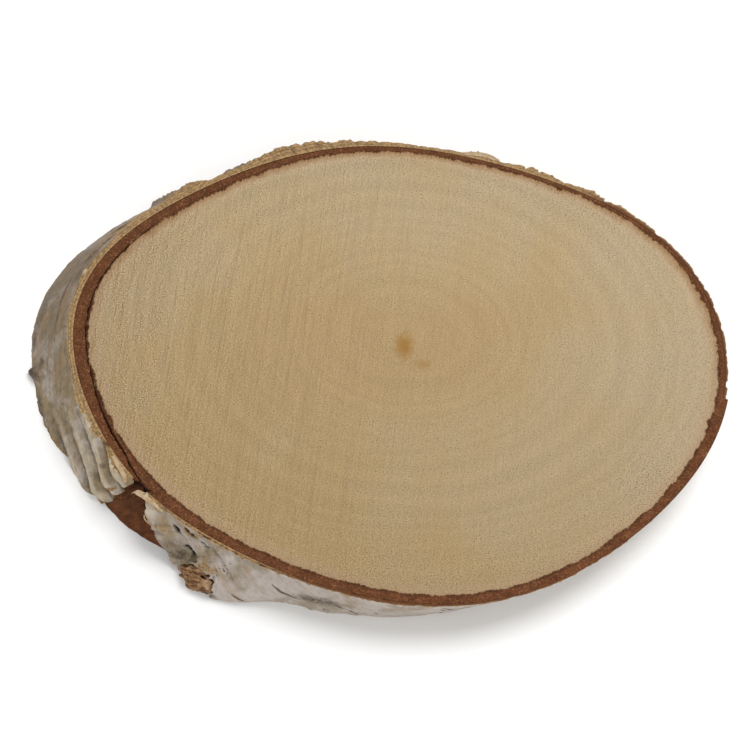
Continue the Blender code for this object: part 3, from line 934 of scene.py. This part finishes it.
def peeled_paper(colours):
    """Peeled strips of birch paper: thin, tan on the torn side and cream where the face shows."""
    material, shader, add = new_material("peeled birch paper", IOR=1.45, Roughness=0.75, Metallic=0.0)
    place = add(MAPPING, Vector=slice_place(add), Scale=(1 / 2.2, 1 / 2.2, 1 / 0.9))
    grain = add(NOISE, Vector=place, Scale=1, Detail=4, Roughness=0.6)
    tan = add(RANGE, grain, 0.35, 0.65, 0.5, 1.0)
    strip = add(BLEND, tan, colours.paper_light, colours.cork)
    relief = add(BUMP, Height=grain, Distance=0.2 * MM, Strength=0.7)
    fill(shader, {"Base Color": strip, "Normal": relief})
    return material


class BIRCH_OT_wood(bpy.types.Operator):
    """Build the sawn wood with its inner bark and the crack between them"""

    bl_idname = "birch.wood"
    bl_label = "Wood and inner bark"

    def execute(self, context):
        sizes, colours = context.scene.birch_sizes, context.scene.birch_colours
        half = THICKNESS / 2
        crack = [WOOD_RADIUS + step * MM for step in (0.15, 0.25, 0.45, 0.55)]
        wood_rings = [WOOD_RADIUS * share for share in (0.0, 0.2, 0.4, 0.6, 0.8, 0.92, 0.97, 0.99, 1.0)]
        band = [WOOD_RADIUS + INNER_BARK * share for share in np.linspace(0.26, 1.0, 10)]
        top = [(radius, half) for radius in wood_rings + crack + band]
        wall = [(WOOD_RADIUS + INNER_BARK, half - THICKNESS * share) for share in np.linspace(0.02, 0.98, 26)]
        underside = [(radius, -half) for radius in reversed(wood_rings + band)]
        piece = spun_body("wood_and_inner_bark", top + wall + underside, TURN_STEPS)

        offsets = []
        for vert in piece.data.vertices:
            angle = math.degrees(math.atan2(vert.co.y, vert.co.x)) % 360
            nominal, z = math.hypot(vert.co.x, vert.co.y), vert.co.z + half
            edge = wood_radius(angle)
            if nominal <= WOOD_RADIUS + 0.001 * MM:
                radius = edge * min(nominal / WOOD_RADIUS, 1.0)
            else:
                outer = bare_wall(angle, z) - edge
                there = math.sin(math.pi * min(max((angle - CRACK_START) / (CRACK_END - CRACK_START), 0), 1))
                wide = sizes.crack_width * there ** 0.5 * (0.75 + 0.5 * noise.noise(Vector((angle / 1.7, 0, 2))))
                wide = max(wide * (1 + 0.5 * rise(angle, 190, 205)), 0.01 * MM)
                drift = CRACK_DRIFT * rise(angle, 190, 214) + CRACK_TURN * rise(angle, 212, 222)
                start = CRACK_OFFSET + drift * (z > half)
                steps = (0, 0.15, 0.25, 0.45, 0.55, INNER_BARK / MM)
                places = (0, start, start + 0.2 * wide, start + 0.8 * wide, start + wide, outer)
                radius = edge + float(np.interp((nominal - WOOD_RADIUS) / MM, steps, places))
                if vert.co.z > half - 0.001 * MM:
                    depth = sizes.crack_depth * min(there * 3, 1) * min(wide / (0.3 * MM), 1)
                    z -= depth * float(np.interp((nominal - WOOD_RADIUS) / MM, steps, (0, 0, 1, 1, 0, 0)))
                    if nominal > crack[-1] + 0.01 * MM:
                        crumbs = noise.noise(wall_point(angle, radius, z) / (0.9 * MM))
                        z -= (0.12 + 0.14 * crumbs) * MM
                        z -= 0.25 * MM * rise(nominal, WOOD_RADIUS + 0.8 * INNER_BARK, WOOD_RADIUS + INNER_BARK)
            offsets.append((radius - edge) / MM)
            vert.co = wall_point(angle, radius, z)
        paint(piece, "edge", offsets)
        finish_piece(piece, sawn_birch(colours, sizes))
        return {"FINISHED"}


class BIRCH_OT_outer_bark(bpy.types.Operator):
    """Build the papery outer bark with its folds, flap, slits and thick cork"""

    bl_idname = "birch.outer_bark"
    bl_label = "Outer bark"

    def execute(self, context):
        sizes, colours = context.scene.birch_sizes, context.scene.birch_colours
        depth = sizes.fold_depth
        spots = []

        def place(u, v, w):
            point, angle, z = bark_place(u, v, w, depth)
            spots.append((w, angle, z))
            return point

        piece = slab("outer_bark", BARK_COLUMNS, BARK_ROWS, 4, place)
        layers, corks, dirt_and_shade_strengths, slits, groove_shades, lights, weathers = [], [], [], [], [], [], []
        for w, angle, z in spots:
            along = height_on_trunk(angle, inner_bark_radius(angle), z)
            in_folds = rise(angle, FOLDS_START + 6, TORN_END - 8) * (1 - rise(angle, TORN_END + 8, TORN_END + 12))
            layers.append(w)
            corks.append(patch_strength(angle, z, CORK_PATCHES))
            # Dark patches: dirt, and painted shade in some of them
            dirt_and_shade_strengths.append(patch_strength(angle, z, DIRT_AND_SHADE_PATCHES))
            # Painted shade, near black, fills the open slits
            slits.append(rise(line_strength(angle, along, SLITS)[1], 0.2, 0.6))
            # Painted shade in the grooves between the folds, in the creases and in the cracks of the cork ridge
            creased = line_strength(angle, along, CREASES)[1]
            ridge = bump(angle, 108, 30)
            between = in_folds * (1 - rise(fold_wave(along), 0.0, 0.36))
            groove_shades.append(max(between, 0.35 * creased, ridge * cork_cracks(angle)))
            # Painted highlight: the crests of the folds are lighter, where the light falls
            crest = in_folds * rise(fold_wave(along), 0.75, 1.0)
            lights.append(max(patch_strength(angle, z, LIGHT_PATCHES), 0.7 * crest))
            weathers.append(max(
                strength * bump((angle - middle + 180) % 360 - 180, 0, wide)
                for middle, wide, strength in WEATHERED
            ))
        for name, values in zip(BARK_NUMBERS, (layers, corks, dirt_and_shade_strengths, slits, groove_shades, lights, weathers)):
            paint(piece, name, values)
        finish_piece(piece, papery_bark(colours, sizes))
        return {"FINISHED"}


class BIRCH_OT_torn_lump(bpy.types.Operator):
    """Build the rough lump of inner bark torn off with the flap"""

    bl_idname = "birch.torn_lump"
    bl_label = "Torn lump"

    def execute(self, context):
        deselect_all()
        bpy.ops.mesh.primitive_ico_sphere_add(subdivisions=6, radius=1)
        piece = active_piece("torn_lump")
        middle = wall_point(CHUNK_ANGLE, inner_bark_radius(CHUNK_ANGLE) + CHUNK_OUT, CHUNK_HEIGHT)
        outward = Vector((math.cos(math.radians(CHUNK_ANGLE)), math.sin(math.radians(CHUNK_ANGLE)), 0))
        along = Vector((-outward.y, outward.x, 0))
        middle += along * 0.8 * MM
        long, deep, high = 7.8 * MM, 4.4 * MM, 4.6 * MM
        hollows = []
        for vert in piece.data.vertices:
            at = vert.co.copy()
            strand = Vector((at.x * 2.2, at.y * 7, at.z * 7))
            ridges = noise.noise(strand) + 0.6 * noise.noise(strand * 2.1)
            hollow = max(noise.noise(at * 3.1 + Vector((4, 1, 7))), 0)
            grown = at * (1 + 0.28 * noise.noise(at * 2.1) + 0.10 * ridges - 0.55 * hollow)
            place = middle + along * (grown.x * long) + outward * (grown.y * deep)
            place.z += grown.z * high
            place.z = max(place.z, 0.0)
            vert.co = place
            # Painted shade: the hollows, the underside and the low end are dark
            low_end = 1.2 * bump(at.x, 0.85, 0.42) * (1 - rise(at.z, 0.35, 0.75))
            hollows.append(min(hollow * 1.6 + 0.5 * rise(-at.z, 0.3, 0.9) + low_end, 1.0))
        paint(piece, "hollow", hollows)
        face_outwards(piece)
        finish_piece(piece, torn_fibre(context.scene.birch_colours), 80)
        return {"FINISHED"}


# Lenticels: start angle, end angle, height on the trunk at each, and width
LENTICELS = (
    (166.5, 174.5, -80.6 * MM, -81.6 * MM, 1.3 * MM),
    (173.5, 181.5, -81.2 * MM, -81.6 * MM, 0.9 * MM),
    (252.2, 255.8, -38.9 * MM, -38.4 * MM, 0.7 * MM),
    (255.4, 263.4, -25.3 * MM, -24.0 * MM, 0.75 * MM),
    (267.6, 274.6, -14.0 * MM, -13.8 * MM, 0.6 * MM),
)


class BIRCH_OT_lenticels(bpy.types.Operator):
    """Lay the dark dashes on the outer bark"""

    bl_idname = "birch.lenticels"
    bl_label = "Lenticels"

    def execute(self, context):
        sizes, colours = context.scene.birch_sizes, context.scene.birch_colours
        chance = random.Random(sizes.seed)
        marks = list(LENTICELS)
        for count in range(sizes.small_marks):
            angle = chance.uniform(268, 555) % 360
            radius = inner_bark_radius(angle)
            z = chance.uniform(1.0 * MM, THICKNESS - 2.5 * MM)
            along = height_on_trunk(angle, radius, z)
            span = chance.uniform(0.8, 3.2)
            last = along + chance.uniform(-0.3, 0.3) * MM
            marks.append((angle, angle + span, along, last, chance.uniform(0.2, 0.4) * MM))
        blank = slab("blank", 12, 2, 0, lambda u, v, w: (u - 0.5, v - 0.5, w))
        pieces = []
        for first, last, low, high, wide in marks:

            def place(u, v, w):
                angle = first + u * (last - first)
                swell = math.sin(math.pi * min(max(u, 0.03), 0.97)) ** 0.6
                along = low + u * (high - low) + (v - 0.5) * wide * swell
                proud = 0.10 * MM * swell if w > 0.5 else -0.25 * MM
                return bark_surface(angle, along, proud, sizes.fold_depth)
            ends = [
                height_above_base(angle, inner_bark_radius(angle), along)
                for angle, along in ((first, low), (last, high))
            ]
            if min(ends) > -1.0 * MM and max(ends) < THICKNESS:
                mark = blank.copy()
                mark.data = blank.data.copy()
                context.collection.objects.link(mark)
                put_in_place(mark, place)
                pieces.append(mark)
        bpy.data.objects.remove(blank)
        piece = join(pieces, "lenticels")
        finish_piece(piece, lenticel_cork(colours), 80)
        return {"FINISHED"}


# Peeled strips: points as (angle, height above the underside, distance out of the inner bark), width, thickness,
# and how far the width leans out from the upright
PEELED_STRIPS = (
    (
        ((213.6, 17.0, 0.9), (215.4, 17.2, 1.3), (217.2, 17.2, 1.6), (218.8, 17.0, 1.9), (220.2, 16.3, 2.2)),
        1.1, 0.3, 0.9,
    ),
    (
        ((229.6, 15.9, 0.6), (228.3, 16.4, 0.8), (227.0, 16.8, 1.1), (225.7, 16.9, 1.4), (224.5, 16.8, 1.7),
         (223.5, 16.6, 1.9), (222.8, 16.1, 2.2), (223.1, 15.4, 2.3)),
        1.9, 0.4, 0.92,
    ),
    (((231.2, 11.8, 3.4), (230.2, 12.8, 4.0), (229.1, 13.6, 4.2), (228.3, 14.1, 3.7)), 0.5, 0.2, 0.2),
    (((84.0, 16.8, 0.9), (81.5, 17.1, 1.9), (79.0, 17.1, 2.2), (76.5, 16.6, 1.6)), 1.4, 0.35, 0.8),
    (((167.6, 16.7, 1.4), (166.8, 17.0, 1.8), (166.0, 16.8, 1.6)), 0.9, 0.25, 0.8),
)


def on_path(points, share):
    """A point on the smooth curve through some points, at a share of the way along."""
    place = share * (len(points) - 1)
    first = min(int(place), len(points) - 2)
    t = place - first
    before, start, end, after = (
        Vector(points[min(max(first + step, 0), len(points) - 1)]) for step in (-1, 0, 1, 2)
    )
    bend = (end - before) * t + (2 * before - 5 * start + 4 * end - after) * t ** 2
    return start + (bend + (3 * start - before - 3 * end + after) * t ** 3) / 2


class BIRCH_OT_peeled_strips(bpy.types.Operator):
    """Build the peeled strips and curls at the torn edges"""

    bl_idname = "birch.peeled_strips"
    bl_label = "Peeled strips"

    def execute(self, context):
        pieces = []
        for points, wide, thick, lean in PEELED_STRIPS:

            def place(u, v, w):
                angle, z, out = on_path(points, u)
                narrow = 1 - 0.75 * abs(2 * u - 1) ** 3
                side = (v - 0.5) * wide * narrow * (1 + 0.3 * noise.noise(Vector((u * 9, v * 3, points[0][0]))))
                curl = 0.35 * wide * (2 * v - 1) ** 2
                depth = (w - 0.5) * thick - curl * lean
                radius = inner_bark_radius(angle) + (out + depth + side * lean) * MM
                return wall_point(angle, radius, min(max(z + side * (1 - lean), 0.1), 17.4) * MM)

            pieces.append(slab("strip", 24, 5, 1, place))
        piece = join(pieces, "peeled_strips")
        finish_piece(piece, peeled_paper(context.scene.birch_colours), 80)
        return {"FINISHED"}


# The camera looks down on the slice from its near side
CAMERA_AZIMUTH = math.radians(5.15)
CAMERA_ELEVATION = math.radians(66.9)
CAMERA_DISTANCE = 0.70
CAMERA_LENS = 100.7
CAMERA_AIM = (-8.2 * MM, -6.1 * MM)
LIGHTS = (
    ((0.75, 0.95, 1.9), 1.3, 35.0),
    ((0.2, -1.9, 1.6), 1.3, 10.0),
)
SKY = 0.54


class BIRCH_OT_stage(bpy.types.Operator):
    """Set the floor, the soft lights and the camera"""

    bl_idname = "birch.stage"
    bl_label = "Floor, lights and camera"

    def execute(self, context):
        deselect_all()
        bpy.ops.mesh.primitive_plane_add(size=6, location=(0, 0, LOW.z))
        floor = active_piece("floor")
        bpy.ops.object.transform_apply(location=True, rotation=True, scale=True)
        white = linear("#FAFAF9")
        card = new_material("white card", Base_Color=white, Roughness=0.9, IOR=1.45, Metallic=0)[0]
        floor.data.materials.append(card)

        middle = Vector((FACE_X, FACE_Y, THICKNESS))
        for place, size, power in LIGHTS:
            bpy.ops.object.light_add(type="AREA", location=place)
            light = bpy.context.active_object
            light.data.shape = "DISK"
            light.data.size = size
            light.data.energy = power
            light.rotation_mode = "QUATERNION"
            light.rotation_quaternion = (middle - light.location).to_track_quat("-Z", "Y")
        world = bpy.data.worlds.new("soft sky")
        world.use_nodes = True
        world.node_tree.nodes["Background"].inputs["Color"].default_value = (1, 1, 1, 1)
        world.node_tree.nodes["Background"].inputs["Strength"].default_value = SKY
        context.scene.world = world
        context.scene.view_settings.view_transform = "Standard"

        back = Vector((
            math.sin(CAMERA_AZIMUTH) * math.cos(CAMERA_ELEVATION),
            -math.cos(CAMERA_AZIMUTH) * math.cos(CAMERA_ELEVATION),
            math.sin(CAMERA_ELEVATION),
        ))
        bpy.ops.object.camera_add(location=middle + back * CAMERA_DISTANCE)
        camera = bpy.context.active_object
        aim = middle + Vector((*CAMERA_AIM, 0))
        camera.data.lens = CAMERA_LENS
        camera.data.sensor_width = 36
        camera.rotation_mode = "QUATERNION"
        camera.rotation_quaternion = (aim - camera.location).to_track_quat("-Z", "Y")
        context.scene.camera = camera
        return {"FINISHED"}


OPERATORS = (
    BIRCH_OT_wood,
    BIRCH_OT_outer_bark,
    BIRCH_OT_torn_lump,
    BIRCH_OT_lenticels,
    BIRCH_OT_peeled_strips,
    BIRCH_OT_stage,
)


class BIRCH_PT_slice(bpy.types.Panel):
    bl_idname = "BIRCH_PT_slice"
    bl_label = "Birch slice"
    bl_space_type = "VIEW_3D"
    bl_region_type = "UI"
    bl_category = "Birch slice"

    def draw(self, context):
        for settings in (context.scene.birch_sizes, context.scene.birch_colours):
            for name in settings.__annotations__:
                self.layout.prop(settings, name)
        for operator in OPERATORS:
            self.layout.operator(operator.bl_idname)


CLASSES = (BirchColours, BirchSizes, *OPERATORS, BIRCH_PT_slice)


def register():
    for made in CLASSES:
        bpy.utils.register_class(made)
    bpy.types.Scene.birch_colours = bpy.props.PointerProperty(type=BirchColours)
    bpy.types.Scene.birch_sizes = bpy.props.PointerProperty(type=BirchSizes)


def unregister():
    del bpy.types.Scene.birch_sizes
    del bpy.types.Scene.birch_colours
    for made in reversed(CLASSES):
        bpy.utils.unregister_class(made)


def main():
    register()
    bpy.ops.birch.wood()
    bpy.ops.birch.outer_bark()
    bpy.ops.birch.torn_lump()
    bpy.ops.birch.lenticels()
    bpy.ops.birch.peeled_strips()
    bpy.ops.birch.stage()


if __name__ == "__main__":
    main()
